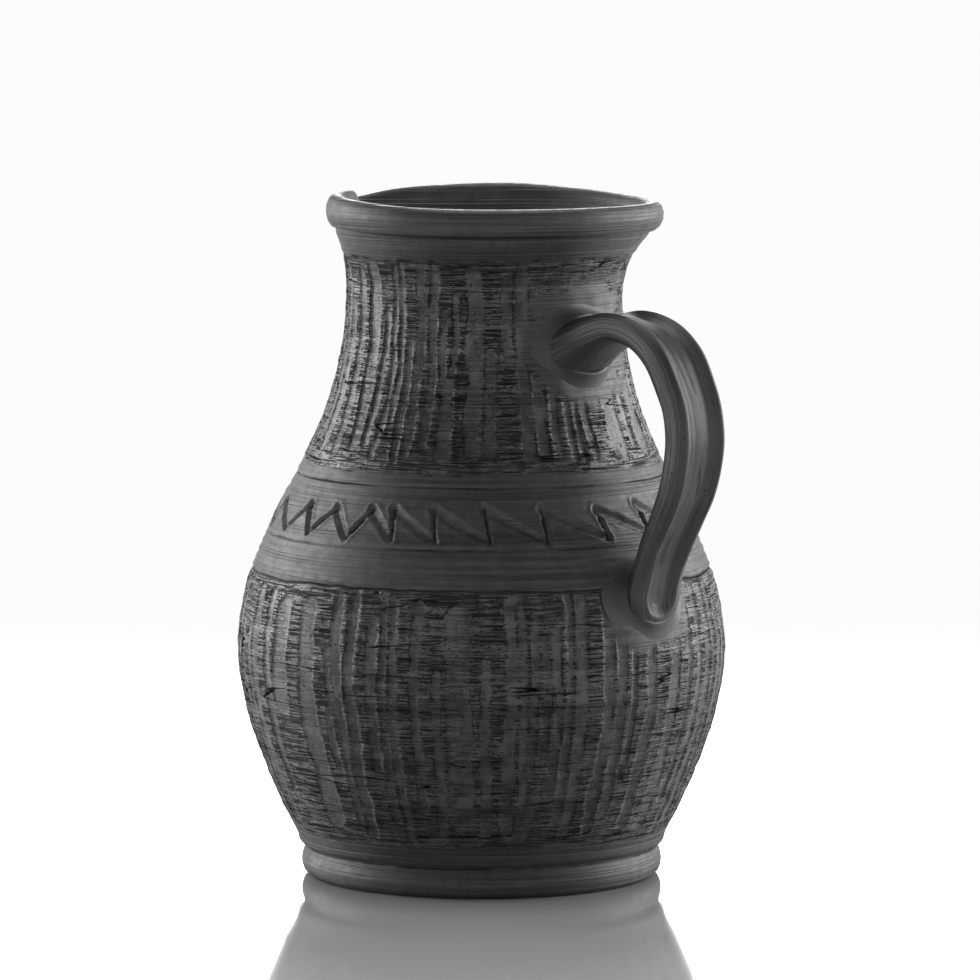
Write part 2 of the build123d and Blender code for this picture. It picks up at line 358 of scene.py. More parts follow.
def outside_marks(angle, z, radius):
    """Everything pressed into the outside: relief, rise, and the notes for the clay's finish, painted
    shade in the grooves among them.
    """
    turns = angle / 360
    smear = wiped(angle, z, radius)
    top_wave = wavy_line(angle, 12, 0.5)
    in_belly = soft_step(COMB_LOW - 0.8, COMB_LOW + 0.8, z)
    in_belly = in_belly * (1 - soft_step(COMB_HIGH - 0.7, COMB_HIGH, z))
    in_neck = soft_step(NECK_COMB_LOW - 0.5, NECK_COMB_LOW + 0.4, z + top_wave)
    in_neck = in_neck * (1 - soft_step(NECK_COMB_HIGH - 0.5, NECK_COMB_HIGH + 0.4, z + top_wave))
    combed = np.maximum(in_belly, in_neck) * (1 - smear)

    belly = strokes_round(BELLY_STROKES, 21.5, 246, 4.9, (3.0, 5.4), (18.5, 104.5), 21)
    neck = strokes_round(NECK_STROKES, 18, 254, 6.6, (2.8, 5.0), (145, 211), 22)
    relief, inside = press_strokes(angle, z, radius, belly + neck, 23)
    relief = relief * combed
    torn = clay_noise(turns, 230, z / 1.5, 13) * 0.1 + clay_noise(turns, 90, z / 2.6, 14) * 0.08
    relief = relief + torn * combed * (1 - soft_step(0, 0.7, inside))
    relief = relief + combed * soft_step(0.2, 0.9, inside) * 0.05 * clay_noise(turns, 120, z / 3.4, 15)

    zigzag, zig_inside, slit = cut_zigzag(angle, z)
    relief = relief + zigzag
    inside = np.where((z > ZIGZAG_FOOT) & (z < ZIGZAG_TOP), zig_inside, inside)
    # Painted shade in the zigzag's narrow slits
    soot = 0.7 * slit

    # Ridges and lines left by the fingers and the comb
    ring = clay_noise(turns, 14, z / 2.6, 16) * 0.05 + clay_noise(turns, 9, z / 5.5, 17) * 0.08
    relief = relief + ring * (1 - combed)
    for height, width, deep in TURNED_LINES:
        away = z - height + wavy_line(angle, int(height), 0.22)
        if height in (NECK_COMB_LOW, NECK_COMB_HIGH):
            away = away + top_wave
        strength = (0.75 + 0.25 * clay_noise(turns, 24, 0 * z + height, 18)) * (1 - smear)
        relief = relief - deep * strength * bell(away, width)
        relief = relief + 0.5 * deep * strength * bell(away - 1.3, 0.7)
        # Painted shade along the turned lines, darker in the deeper ones
        painted_line_shade = 0.85 if deep > 0.3 else 0.35
        soot = np.maximum(soot, painted_line_shade * strength * bell(away, width * 0.7))
    relief = relief + 0.32 * clay_noise(turns, 5, z / 46, 19) * bell(z - 110, 95)
    relief = relief + 0.25 * smear * clay_noise(turns, 50, z / 5, 20)
    rise = top_wave * bell(z - COMB_HIGH, 3.0)
    return relief, rise, inside, combed, soot


# ---------------------------------------------------------------- meshes

def only(obj):
    """Makes one object the selected and active one."""
    bpy.ops.object.select_all(action="DESELECT")
    obj.select_set(True)
    bpy.context.view_layer.objects.active = obj


def places_of(obj):
    places = np.empty(len(obj.data.vertices) * 3, dtype=np.float32)
    obj.data.vertices.foreach_get("co", places)
    return places.reshape(-1, 3).astype(float)


def set_places(obj, places):
    obj.data.vertices.foreach_set("co", places.astype(np.float32).ravel())
    obj.data.update()


def set_note(obj, name, values):
    """Keeps a number for each vertex, for the clay's finish to read."""
    note = obj.data.attributes.get(name) or obj.data.attributes.new(name, "FLOAT", "POINT")
    note.data.foreach_set("value", np.asarray(values, dtype=np.float32))


def note_of(obj, name):
    values = np.empty(len(obj.data.vertices), dtype=np.float32)
    obj.data.attributes[name].data.foreach_get("value", values)
    return values.astype(float)


def new_piece(name):
    """Names the newest primitive and leaves it the only one selected."""
    obj = bpy.context.object
    obj.name = obj.data.name = name
    only(obj)
    return obj


def extrude(across, up):
    bpy.ops.mesh.extrude_region_move(TRANSFORM_OT_translate={"value": (across * MM, 0, up * MM)})


def turn_on_wheel(name, wire, steps):
    """Draws a wire of (radius, height) by extruding a point, and spins it to a closed skin."""
    bpy.ops.object.select_all(action="DESELECT")
    bpy.ops.mesh.primitive_plane_add(size=MM, location=(wire[0][0] * MM, 0, wire[0][1] * MM))
    obj = new_piece(name)
    bpy.ops.object.transform_apply(location=True, rotation=True, scale=True)
    bpy.ops.object.mode_set(mode="EDIT")
    bpy.ops.mesh.select_all(action="SELECT")
    bpy.ops.mesh.merge(type="CENTER")
    for (r0, z0), (r1, z1) in zip(wire, wire[1:]):
        extrude(r1 - r0, z1 - z0)
    bpy.ops.mesh.select_all(action="SELECT")
    bpy.ops.mesh.remove_doubles(threshold=1e-6)
    bpy.ops.object.mode_set(mode="OBJECT")
    drawn, points = places_of(obj)[:, [0, 2]] / MM, np.array(wire)
    station = np.argmin(((drawn[:, None] - points[None]) ** 2).sum(2), axis=1)
    set_note(obj, "station", station)
    turning = obj.modifiers.new("turning", "SCREW")
    turning.axis, turning.angle = "Z", 2 * math.pi
    turning.steps = turning.render_steps = steps
    turning.use_merge_vertices, turning.merge_threshold = True, 1e-6
    only(obj)
    bpy.ops.object.modifier_apply(modifier="turning")
    bpy.ops.object.mode_set(mode="EDIT")
    bpy.ops.mesh.select_all(action="SELECT")
    bpy.ops.mesh.remove_doubles(threshold=1e-6)
    bpy.ops.mesh.normals_make_consistent(inside=False)
    bpy.ops.object.mode_set(mode="OBJECT")
    return obj


def shape_vessel(obj, wire, outside):
    """Moves a spun skin to its made shape: strokes, zigzag, ridges and the pinched mouth."""
    places = places_of(obj)
    station = np.rint(note_of(obj, "station")).astype(int)
    points = np.array(wire)
    radius, z = points[station, 0], points[station, 1]
    on_side = np.array(outside)[station]
    angle = np.degrees(np.arctan2(places[:, 1], places[:, 0]))
    turns = angle / 360
    relief, rise, inside, combed, soot = outside_marks(angle, z, radius)
    out, up = side_normal(z)
    # The rolled rim and the inside only take slow, hand-made unevenness
    slow = 0.3 * clay_noise(turns, 7, z / 40, 31) * (radius > 20)
    rim = soft_step(220.5, 222.5, z)
    slow = slow + 0.12 * clay_noise(turns, 26, z / 3, 32) * rim
    new_out = radius + np.where(on_side, relief * out + 0.35 * slow, slow)
    new_up = z + np.where(on_side, relief * up + rise, 0)
    at_seam = np.abs(z - SEAM) < 1e-3
    new_up = np.where(at_seam & ~on_side, z + rise, new_up)
    new_out, new_up = shape_mouth(angle, new_out, new_up)
    new_up = np.where(z > 12, new_up, np.maximum(new_up, 0))
    turn, lean = np.radians(angle), NECK_LEAN * soft_step(SEAM + 2, 205, new_up)
    x, y = new_out * np.cos(turn) + lean, new_out * np.sin(turn) + lean
    set_places(obj, np.stack([x, y, new_up], 1) * MM)
    set_note(obj, "stroke", np.where(on_side, inside, 3))
    set_note(obj, "combed", np.where(on_side, combed, 0))
    # The painted shade goes to the clay as a note
    set_note(obj, "soot", np.where(on_side, soot, 0))
    obj.data.attributes.remove(obj.data.attributes["station"])


def side_wire(low, high, step):
    """Heights up the outside, as wire points."""
    count = max(2, round((high - low) / step))
    return [(float(side_radius(z)), float(z)) for z in np.linspace(low, high, count + 1)]


def inside_wire(high, low, step):
    count = max(2, round((high - low) / step))
    return [(float(inside_radius(z)), float(z)) for z in np.linspace(high, low, count + 1)]


def seam_middle():
    """A point inside the wall at the seam, where the belly's skin and the neck's skin both turn in."""
    return float(side_radius(SEAM)) - 3, SEAM


def finish_piece(obj, material, node):
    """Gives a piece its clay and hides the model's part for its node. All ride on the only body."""
    obj.data.materials.clear()
    obj.data.materials.append(material)
    only(obj)
    bpy.ops.object.shade_smooth()
    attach(obj, "root")
    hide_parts(node)


# ---------------------------------------------------------------- the strap handle and its joints

def pick(obj, kind, chosen):
    """Selects the edges or the faces that are chosen, and goes to edit mode with only those."""
    bpy.ops.mesh.select_mode(type=kind)
    bpy.ops.mesh.select_all(action="DESELECT")
    bpy.ops.object.mode_set(mode="OBJECT")
    for part in obj.data.edges if kind == "EDGE" else obj.data.polygons:
        part.select = bool(chosen(part))
    bpy.ops.object.mode_set(mode="EDIT")


def runs_up(obj, edge):
    low, high = (obj.data.vertices[end].co.z for end in edge.vertices)
    return abs(high - low) > 1e-5


def strap_stock():
    """Straight stock: a round of clay drawn up by extruding, then ringed along its length."""
    bpy.ops.object.select_all(action="DESELECT")
    bpy.ops.mesh.primitive_circle_add(
        vertices=STOCK_STEPS, radius=STOCK_RADIUS * MM, fill_type="NGON", location=(0, 0, 0))
    obj = new_piece("strap_handle")
    bpy.ops.object.mode_set(mode="EDIT")
    bpy.ops.mesh.select_all(action="SELECT")
    extrude(0, STOCK_LENGTH)
    for _ in range(2):
        pick(obj, "EDGE", lambda edge: runs_up(obj, edge))
        bpy.ops.mesh.subdivide(number_cuts=15)
    pick(obj, "FACE", lambda face: len(face.vertices) > 8)
    bpy.ops.mesh.poke()
    bpy.ops.mesh.select_all(action="SELECT")
    bpy.ops.mesh.normals_make_consistent(inside=False)
    bpy.ops.object.mode_set(mode="OBJECT")
    return obj


def strap_path(share):
    """The strap's centre line, direction, width and thickness at shares of its length."""
    points = np.array(STRAP)
    length = np.concatenate([[0], np.cumsum(np.hypot(*np.diff(points[:, :2], axis=0).T))])
    at = np.clip(share, 0, 1) * length[-1]
    x, z, width, thick = (smooth_through(length, points[:, k], at) for k in range(4))
    ahead, behind = np.minimum(at + 0.4, length[-1]), np.maximum(at - 0.4, 0)
    run, fall = (smooth_through(length, points[:, k], ahead)
                 - smooth_through(length, points[:, k], behind) for k in range(2))
    size = np.hypot(run, fall)
    return at, x, z, width, thick, run / size, fall / size


def bend_strap(obj, channel):
    """Bends the stock along its path with a thumbed channel, and rounds its end under the thumb print."""
    places = places_of(obj)
    around = np.arctan2(places[:, 1], places[:, 0])
    core = np.hypot(places[:, 0], places[:, 1]) / (STOCK_RADIUS * MM)
    at, x, z, width, thick, run, fall = strap_path(places[:, 2] / (STOCK_LENGTH * MM))
    half = width / 2 * (1 + 0.02 * clay_noise(0 * at, 3, at / 14, 51))
    lower = x > LOWER_END
    down = np.clip(THUMB_HEIGHT - z, 0, None) * lower
    rounded = np.sqrt(np.clip(TIP_RADIUS**2 - down**2, 1.2, None))
    end = np.where(down > 0, np.minimum(half, rounded), half)
    cosine, sine = np.cos(around), np.sin(around)
    tip = soft_step(122, 104, z) * lower
    root = 1 - soft_step(8, 24, at)
    across = end * np.sign(cosine) * np.abs(cosine) ** (0.54 + 0.3 * tip + 0.36 * root)
    flat = np.sign(sine) * np.abs(sine) ** (0.72 + 0.3 * tip + 0.24 * root)
    height = thick / 2 * flat * (0.5 + 0.5 * np.sqrt(np.clip(1 - (down / TIP_RADIUS) ** 2, 0, 1)))
    edge = np.where(down > 0, TIP_RADIUS - np.hypot(across, down), half - np.abs(across))
    opened = soft_step(16, 34, at)
    hollow = channel * opened * soft_step(1.8 + 2.4 * tip, 8.4 + 0.4 * tip, edge) * np.clip(flat, 0, 1)
    hollow = hollow * (1 - 0.35 * soft_step(116, 100, z) * lower)
    thumbed = 0.9 * bell(np.hypot(across, z - THUMB_HEIGHT + 1.5), 4.2) * lower * np.clip(flat, 0, 1)
    height = height - hollow - thumbed
    # The soft ridges either side of the channel, and streaks left by wet fingers
    height = height + 0.35 * bell(edge - 2.8 - 2 * tip, 1.3) * np.clip(flat, 0, 1)
    streak = clay_noise(around / (2 * math.pi), 54, at / 26, 52) * 0.09
    streak = streak + clay_noise(around / (2 * math.pi), 22, at / 40, 53) * 0.1
    fade = core * soft_step(0, 6, TIP_RADIUS + 4 - down)
    across = across * core + streak * cosine * fade
    height = height * core + streak * sine * fade + 0.2 * clay_noise(0 * at, 3, at / 9, 54)
    out, up = x - fall * height, z + run * height
    set_places(obj, np.stack([out, across, up], 1) * MM)
    set_note(obj, "along", at)
    set_note(obj, "around", around * 11)


def smear_clay(name, height, reach, strap, lift, fall_off, seed):
    """A feathered patch of clay smeared over the vessel round one end of the strap.
    Reach is half its width and height. Strap is the strap's there, and how far up its middle is."""
    bpy.ops.object.select_all(action="DESELECT")
    bpy.ops.mesh.primitive_uv_sphere_add(segments=112, ring_count=80, radius=MM, location=(0, 0, 0))
    obj = new_piece(name)
    ball = places_of(obj) / MM
    outer = ball[:, 2] >= 0
    share = np.arccos(np.clip(np.abs(ball[:, 2]), 0, 1)) / (math.pi / 2)
    way = np.arctan2(ball[:, 1], ball[:, 0])
    ragged = 1 + 0.1 * clay_noise(way / (2 * math.pi), 9, 0 * way + seed, 61)
    across = share * np.cos(way) * reach[0] * ragged
    rise = share * np.sin(way) * reach[1] * ragged
    away = (np.hypot(across / strap[0], (rise - strap[2]) / strap[1]) - 1) * min(strap[:2]) * 1.15
    feather = (1 - share**2.4) ** 1.6
    smeared = lift * np.exp(-np.clip(away, 0, None) / fall_off) * feather - 0.35 * share**6
    smeared = smeared * (1 - 0.55 * soft_step(0, -3, away))
    smeared = smeared + 0.22 * feather * clay_noise(way / (2 * math.pi), 16, share * 3, seed)
    sunk = -0.35 - 3.2 * np.sqrt(np.clip(1 - share**2, 0, 1))
    off = np.where(outer, smeared, sunk)
    z = height + rise
    out, up = side_normal(z)
    radius = side_radius(z)
    turn = across / (radius + np.clip(off, 0, None))
    away = radius + off * out
    places = np.stack([away * np.cos(turn), away * np.sin(turn), z + off * up], 1)
    set_places(obj, places * MM)
    bpy.ops.object.mode_set(mode="EDIT")
    bpy.ops.mesh.select_all(action="SELECT")
    bpy.ops.mesh.normals_make_consistent(inside=False)
    bpy.ops.object.mode_set(mode="OBJECT")
    return obj


# ---------------------------------------------------------------- clay finishes

class Recipe:
    """Short names for building one clay's nodes."""

    def __init__(self, name):
        self.material = bpy.data.materials.new(name)
        self.material.use_nodes = True
        self.tree = self.material.node_tree
        self.tree.nodes.clear()
        self.coords = self.add("ShaderNodeTexCoord").outputs["Object"]

    def add(self, kind, **settings):
        node = self.tree.nodes.new(kind)
        for key, value in settings.items():
            setattr(node, key, value)
        return node

    def feed(self, socket, value):
        if isinstance(value, bpy.types.NodeSocket):
            self.tree.links.new(value, socket)
        else:
            socket.default_value = value

    def note(self, name):
        return self.add("ShaderNodeAttribute", attribute_name=name).outputs["Fac"]

    def calc(self, operation, *values, clamp=False):
        node = self.add("ShaderNodeMath", operation=operation, use_clamp=clamp)
        for socket, value in zip(node.inputs, values):
            self.feed(socket, value)
        return node.outputs[0]

    def plus(self, first, second, clamp=False):
        return self.calc("ADD", first, second, clamp=clamp)

    def minus(self, first, second):
        return self.calc("SUBTRACT", first, second)

    def times(self, first, second, clamp=False):
        return self.calc("MULTIPLY", first, second, clamp=clamp)

    def most(self, first, second, clamp=False):
        return self.calc("MAXIMUM", first, second, clamp=clamp)

    def about(self, field, middle, reach):
        """How near a field is to a middle value: 1 on it, 0 past the reach."""
        return self.step(self.calc("ABSOLUTE", self.minus(field, middle)), *reach)

    def pile(self, *layers):
        """Adds up layers of (field, metres)."""
        field, metres = layers[0]
        height = self.times(field, metres)
        for field, metres in layers[1:]:
            height = self.plus(height, self.times(field, metres))
        return height

    def step(self, value, low, high):
        """0 below low to 1 above high, or the other way when low is more than high."""
        node = self.add("ShaderNodeMapRange", interpolation_type="SMOOTHSTEP")
        flip = low > high
        self.feed(node.inputs["Value"], value)
        node.inputs["From Min"].default_value = min(low, high)
        node.inputs["From Max"].default_value = max(low, high)
        node.inputs["To Min"].default_value = 1.0 if flip else 0.0
        node.inputs["To Max"].default_value = 0.0 if flip else 1.0
        return node.outputs[0]

    def noise(self, scale, detail=1.0, place=(0, 0, 0), coords=None, warp=0.0):
        mapping = self.add("ShaderNodeMapping")
        self.feed(mapping.inputs["Vector"], coords or self.coords)
        mapping.inputs["Scale"].default_value = scale
        mapping.inputs["Location"].default_value = place
        node = self.add("ShaderNodeTexNoise", noise_dimensions="3D")
        self.feed(node.inputs["Vector"], mapping.outputs[0])
        node.inputs["Scale"].default_value = 1.0
        node.inputs["Detail"].default_value = detail
        node.inputs["Roughness"].default_value = 0.5
        node.inputs["Distortion"].default_value = warp
        return node.outputs["Fac"]

    def blend(self, share, first, second):
        node = self.add("ShaderNodeMix", data_type="RGBA", clamp_factor=True)
        self.feed(node.inputs[0], share)
        self.feed(node.inputs[6], first)
        self.feed(node.inputs[7], second)
        return node.outputs[2]

    def fire(self, colour, roughness, relief, shine):
        """The fired surface. Relief is in metres."""
        shader = self.add("ShaderNodeBsdfPrincipled")
        bump = self.add("ShaderNodeBump")
        bump.inputs["Strength"].default_value = 1.0
        bump.inputs["Distance"].default_value = 1.0
        self.feed(bump.inputs["Height"], relief)
        self.feed(shader.inputs["Base Color"], colour)
        self.feed(shader.inputs["Roughness"], roughness)
        self.feed(shader.inputs["Normal"], bump.outputs[0])
        self.feed(shader.inputs["Specular IOR Level"], shine)
        out = self.add("ShaderNodeOutputMaterial")
        self.tree.links.new(shader.outputs[0], out.inputs["Surface"])
        return self.material


def combed_black_clay(look):
    """Torn comb lines between pressed strokes, painted shade in the grooves and a satin where it was
    rubbed.
    """
    clay = Recipe("combed_black_clay_fired")
    plus, minus, times, most, step = clay.plus, clay.minus, clay.times, clay.most, clay.step
    stroke, combed, soot = clay.note("stroke"), clay.note("combed"), clay.note("soot")

    # Lines the comb tore between the strokes, broken up by the clay's grains, with painted shade in them
    fine_lines = step(clay.noise((85, 85, 2250), 1.4, warp=0.3), 0.485, 0.43)
    coarse_lines = step(clay.noise((50, 50, 1250), 1.0, (3, 1, 7), warp=0.2), 0.375, 0.35)
    lines = most(times(fine_lines, 0.8), coarse_lines)
    bitten = clay.noise((190, 190, 1700), 2.0, (9, 2, 4))
    ragged = times(minus(bitten, 0.5), 4.2)
    grains = clay.noise((680, 680, 1750), 2.0, (4, 7, 2))
    lines = times(lines, step(grains, 0.33, 0.42))
    lines = most(lines, times(step(grains, 0.41, 0.36), 0.8))
    between = times(step(plus(stroke, ragged), 0.55, -0.1), combed)

    # Lines left faint under the strokes, more of them low on the belly
    patches = step(clay.noise((90, 90, 34), 2.0, (1, 5, 3)), 0.42, 0.62)
    place = clay.add("ShaderNodeSeparateXYZ")
    clay.feed(place.inputs[0], clay.coords)
    low_down = step(place.outputs["Z"], 0.082, 0.045)
    low_patches = step(clay.noise((60, 60, 150), 2.0, (2, 5, 9)), 0.45, 0.60)
    patches = most(patches, times(low_down, low_patches))
    faint = times(times(patches, combed), plus(0.42, times(low_down, 0.2)))
    torn = times(times(lines, 0.88), most(between, faint), clamp=True)

    # Creases at the strokes' edges, and long tears running round the pot, with painted shade in them
    frayed = plus(stroke, times(ragged, 0.12))
    crease = times(clay.about(frayed, 0.0, (0.24, 0.05)), combed)
    crease = times(crease, step(clay.noise((150, 150, 150), 1.0, (4, 4, 8)), 0.40, 0.58))
    tear = clay.about(clay.noise((9, 9, 120), 2.0, (2, 8, 5), warp=0.15), 0.52, (0.0085, 0.002))
    tear = times(tear, times(combed, step(clay.noise((40, 40, 60), 1.0, (6, 3, 1)), 0.47, 0.56)))

    # Thin lines of the wheel on the wiped clay, and grit
    wheel_line = step(clay.noise((9, 9, 1150), 1.0, (5, 5, 1)), 0.49, 0.37)
    wheel_line = times(wheel_line, minus(1.0, times(combed, 0.6)))
    drag = clay.noise((7, 7, 420), 2.0, (1, 9, 3))
    grit = clay.noise((2600, 2600, 2600), 1.5)
    pits = step(clay.noise((1000, 1000, 1000), 1.0, (7, 1, 2)), 0.34, 0.28)
    pits = times(pits, plus(0.25, times(combed, 0.75)))

    # Painted shade in the grooves, slits, creases, tears and pits, and where less smoke reached it or it
    # was rubbed
    painted_groove_dark = times(soot, step(plus(soot, times(ragged, 0.12)), 0.15, 0.6))
    dark = most(most(torn, times(crease, 0.5)), most(tear, painted_groove_dark))
    dark = most(dark, times(pits, 0.6), clamp=True)
    cloud = step(clay.noise((26, 26, 20), 2.5, (8, 8, 1)), 0.38, 0.64)
    cloud = times(cloud, plus(0.25, times(combed, 0.75)))
    body = clay.blend(cloud, (*look.clay_colour, 1), (*look.brown_clay_colour, 1))
    rubbed = times(step(clay.noise((210, 210, 150), 2.0, (3, 3, 3)), 0.42, 0.62), 0.75)
    worn = clay.blend(times(rubbed, plus(0.2, times(combed, 0.8))), body, (*look.ash_colour, 1))
    # Painted shade in the dips of the drag marks
    worn = clay.blend(times(step(drag, 0.50, 0.36), 0.6), worn, (*look.soot_colour, 1))
    colour = clay.blend(dark, worn, (*look.soot_colour, 1))

    uneven = minus(clay.noise((320, 320, 240), 2.0, (2, 2, 9)), 0.5)
    satin = plus(look.satin_roughness, times(uneven, 0.3))
    satin = plus(satin, times(minus(1.0, combed), 0.13))
    roughness = plus(satin, times(dark, 0.5), clamp=True)
    lumps = clay.noise((260, 260, 420), 2.0, (1, 1, 6))
    height = clay.pile((torn, -look.comb_depth), (crease, -0.00022), (tear, -0.00035),
                       (wheel_line, -0.00014), (drag, 0.00022), (pits, -0.00012),
                       (grit, 0.000035), (lumps, 0.00011))
    return clay.fire(colour, roughness, height, times(minus(1.12, dark), 0.5, clamp=True))


def burnished_black_clay(look):
    """Clay pulled and wiped with wet fingers: streaks along the strap and a soft sheen."""
    clay = Recipe("burnished_black_clay_fired")
    plus, minus, times, step = clay.plus, clay.minus, clay.times, clay.step
    pulled = clay.add("ShaderNodeCombineXYZ")
    clay.feed(pulled.inputs[0], clay.note("around"))
    clay.feed(pulled.inputs[1], clay.note("along"))
    streaks = clay.noise((1.5, 0.045, 1), 2.0, (4, 0, 0), coords=pulled.outputs[0])
    wide_streaks = clay.noise((0.5, 0.03, 1), 1.0, (9, 0, 0), coords=pulled.outputs[0])
    wiped_lines = clay.noise((60, 60, 700), 1.5, (3, 3, 2), warp=0.4)
    grit = clay.noise((2400, 2400, 2400), 1.5)
    pits = step(clay.noise((700, 700, 700), 1.0, (7, 1, 2)), 0.25, 0.21)
    cloud = step(clay.noise((40, 40, 40), 2.5, (8, 8, 1)), 0.36, 0.66)
    body = clay.blend(times(cloud, 0.3), (*look.clay_colour, 1), (*look.ash_colour, 1))
    # Painted shade in the pits and in the low parts of the finger streaks
    dark = clay.most(pits, times(step(streaks, 0.46, 0.30), 0.85))
    colour = clay.blend(dark, body, (*look.soot_colour, 1))
    satin = plus(look.burnish_roughness, times(minus(streaks, 0.5), 0.35))
    roughness = plus(satin, times(dark, 0.3), clamp=True)
    height = clay.pile((streaks, 0.00012), (wide_streaks, 0.0002), (wiped_lines, 0.00006),
                       (pits, -0.00015), (grit, 0.00003))
    return clay.fire(colour, roughness, height, 0.5)


def pale_floor(look):
    """A pale, softly shining table that fades into the white round it."""
    sheet = Recipe("pale_floor")
    shader = sheet.add("ShaderNodeBsdfPrincipled")
    shader.inputs["Base Color"].default_value = (*look.floor_colour, 1)
    shader.inputs["Roughness"].default_value = 0.07
    shader.inputs["IOR"].default_value = 2.4
    white = sheet.add("ShaderNodeEmission")
    white.inputs["Color"].default_value = (1, 1, 1, 1)
    white.inputs["Strength"].default_value = look.backdrop_white
    length = sheet.add("ShaderNodeVectorMath", operation="LENGTH")
    sheet.feed(length.inputs[0], sheet.coords)
    fade = sheet.add("ShaderNodeMixShader")
    sheet.feed(fade.inputs[0], sheet.step(length.outputs["Value"], 0.10, 0.8))
    sheet.tree.links.new(shader.outputs[0], fade.inputs[1])
    sheet.tree.links.new(white.outputs[0], fade.inputs[2])
    out = sheet.add("ShaderNodeOutputMaterial")
    sheet.tree.links.new(fade.outputs[0], out.inputs["Surface"])
    return sheet.material


# ---------------------------------------------------------------- the studio

def white_room(look):
    """White behind the jug. The light itself comes from a low white wall under a dimmer room."""
    world = bpy.data.worlds.new("white_room")
    world.use_nodes = True
    tree = world.node_tree
    tree.nodes.clear()
    seen, room = tree.nodes.new("ShaderNodeBackground"), tree.nodes.new("ShaderNodeBackground")
    seen.inputs["Color"].default_value = room.inputs["Color"].default_value = (1, 1, 1, 1)
    seen.inputs["Strength"].default_value = look.backdrop_white
    up, height = tree.nodes.new("ShaderNodeTexCoord"), tree.nodes.new("ShaderNodeSeparateXYZ")
    wall = tree.nodes.new("ShaderNodeMapRange")
    tree.links.new(up.outputs["Generated"], height.inputs[0])
    tree.links.new(height.outputs["Z"], wall.inputs["Value"])
    wall.inputs["From Min"].default_value, wall.inputs["From Max"].default_value = WALL_FADE
    wall.inputs["To Min"].default_value = look.wall_light
    wall.inputs["To Max"].default_value = look.room_light
    tree.links.new(wall.outputs[0], room.inputs["Strength"])
    mix, path = tree.nodes.new("ShaderNodeMixShader"), tree.nodes.new("ShaderNodeLightPath")
    out = tree.nodes.new("ShaderNodeOutputWorld")
    tree.links.new(path.outputs["Is Camera Ray"], mix.inputs[0])
    tree.links.new(room.outputs[0], mix.inputs[1])
    tree.links.new(seen.outputs[0], mix.inputs[2])
    tree.links.new(mix.outputs[0], out.inputs["Surface"])
    return world


def soft_light(look, name, azimuth, distance, height, size, power):
    """A wide light that points at the jug and isn't seen itself."""
    lamp = bpy.data.lights.new(name, "AREA")
    lamp.shape = "RECTANGLE"
    lamp.size, lamp.size_y = size
    lamp.energy = getattr(look, power)
    light = bpy.data.objects.new(name, lamp)
    way = math.radians(azimuth)
    light.location = (distance * math.cos(way), distance * math.sin(way), height)
    light.rotation_euler = (0, math.atan2(distance, height - LIT_HEIGHT), way)
    light.visible_camera = False
    return light


def studio_camera():
    lens = bpy.data.cameras.new("camera")
    lens.lens, lens.sensor_width, lens.clip_end = CAMERA_LENS, 36, 60
    camera = bpy.data.objects.new("camera", lens)
    camera.location = CAMERA_PLACE
    camera.rotation_euler = (math.radians(90 - CAMERA_DOWN), 0, math.radians(CAMERA_TURN))
    return camera


# ---------------------------------------------------------------- what a user may change

class JugLook(bpy.types.PropertyGroup):
    clay_colour: FloatVectorProperty(
        name="Clay", description="Colour of the smoke-fired clay",
        subtype="COLOR", size=3, default=(0.027, 0.0272, 0.0278), min=0, max=1)
    brown_clay_colour: FloatVectorProperty(
        name="Warm clay", description="Colour where less smoke reached it",
        subtype="COLOR", size=3, default=(0.043, 0.0368, 0.0312), min=0, max=1)
    ash_colour: FloatVectorProperty(
        name="Worn clay", description="Greyer colour on rubbed and high places",
        subtype="COLOR", size=3, default=(0.083, 0.0785, 0.074), min=0, max=1)
    # Painted shade for the grooves, slits, creases, tears and pits
    soot_colour: FloatVectorProperty(
        name="Painted shade", description="Colour deep in grooves, tears and pits",
        subtype="COLOR", size=3, default=(0.0022, 0.0022, 0.0022), min=0, max=1)
    satin_roughness: FloatProperty(
        name="Combed roughness", description="Roughness of the pressed strokes",
        subtype="FACTOR", default=0.35, min=0, max=1)
    burnish_roughness: FloatProperty(
        name="Wiped roughness", description="Roughness of the strap and joints",
        subtype="FACTOR", default=0.44, min=0, max=1)
    comb_depth: FloatProperty(
        name="Comb depth", description="Depth of the torn comb lines",
        subtype="DISTANCE", unit="LENGTH", default=0.0005, min=0, max=0.002)
    channel_depth: FloatProperty(
        name="Channel depth", description="Depth of the strap's thumbed channel",
        subtype="DISTANCE", unit="LENGTH", default=CHANNEL_DEPTH * MM, min=0, max=0.006)
    wheel_steps: IntProperty(
        name="Turning steps", description="Steps in one turn of the wheel",
        default=640, min=96, max=720)
    floor_colour: FloatVectorProperty(
        name="Floor", description="Colour of the floor",
        subtype="COLOR", size=3, default=(0.42, 0.42, 0.42), min=0, max=1)
    backdrop_white: FloatProperty(
        name="Backdrop", description="Brightness of the white behind the jug",
        default=0.97, min=0, max=2)
    wall_light: FloatProperty(
        name="Wall light", description="Brightness of the white round the table",
        default=1.0, min=0, max=5)
    room_light: FloatProperty(
        name="Room light", description="Brightness of the room over the white",
        default=0.16, min=0, max=5)
    side_light: FloatProperty(
        name="Side lights", description="Power of each side light",
        subtype="POWER", unit="POWER", default=20.0, min=0, max=500)
    back_light: FloatProperty(
        name="Back light", description="Power of the light behind the jug",
        subtype="POWER", unit="POWER", default=24.0, min=0, max=500)
    top_light: FloatProperty(
        name="Top light", description="Power of the light above",
        subtype="POWER", unit="POWER", default=7.0, min=0, max=500)


# ---------------------------------------------------------------- operators

